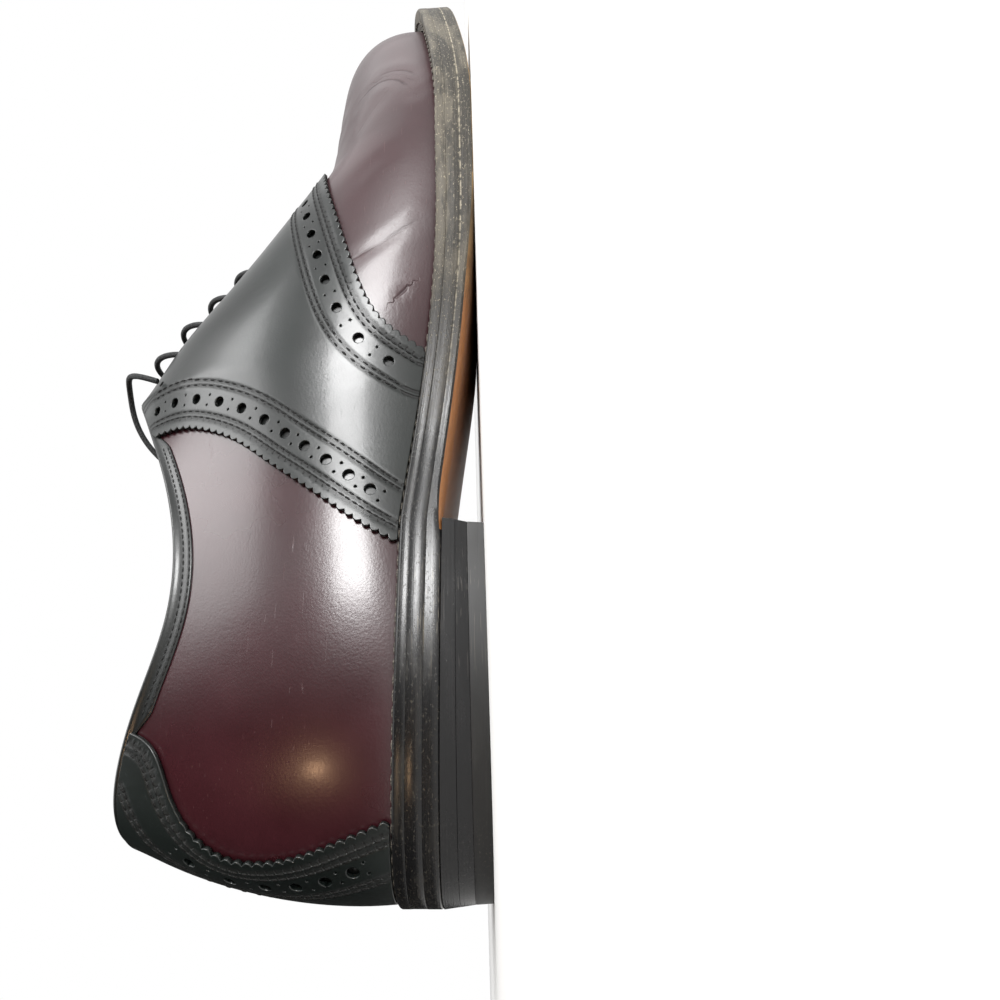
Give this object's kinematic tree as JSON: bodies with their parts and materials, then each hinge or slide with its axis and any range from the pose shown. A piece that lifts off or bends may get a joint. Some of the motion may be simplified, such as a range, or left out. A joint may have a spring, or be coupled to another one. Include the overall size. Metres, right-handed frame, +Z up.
{
  "type": "saddle shoe",
  "caption": "Right welted saddle shoe: smooth leather vamp and quarters, contrast saddle and heel counter, laced throat, hollow upper, welt, midsole, outsole and stacked heel",
  "frame": {"origin": "middle of the sole's outline in plan, on the floor that the heel and the forefoot stand on", "axes": "+X runs from the heel to the toe, +Y to the inner (medial) side, +Z up"},
  "size_m": [0.312, 0.1031, 0.1168],
  "materials": {
    "oxblood_calf": "polished smooth oxblood calf",
    "black_calf": "polished smooth black calf",
    "tan_leather": "matt vegetable tanned lining leather",
    "edge_leather": "black dressed and waxed leather edge",
    "sole_leather": "worn oak bark sole leather with burnished waist",
    "heel_rubber": "matt black rubber",
    "waxed_lace": "thin round waxed cotton lace"
  },
  "bodies": {
    "root": {"upper": "oxblood_calf", "saddle": "black_calf", "heel_counter": "black_calf", "collar_binding": "black_calf", "tongue": "black_calf", "insole": "tan_leather", "welt": "edge_leather", "midsole": "edge_leather", "outsole": "sole_leather", "heel_lift_upper": "edge_leather", "heel_lift_lower": "edge_leather", "top_lift": "heel_rubber", "lace_bar_1": "waxed_lace", "lace_bar_2": "waxed_lace", "lace_bar_3": "waxed_lace", "lace_bar_4": "waxed_lace", "lace_end": "waxed_lace"}
  },
  "joints": []
}
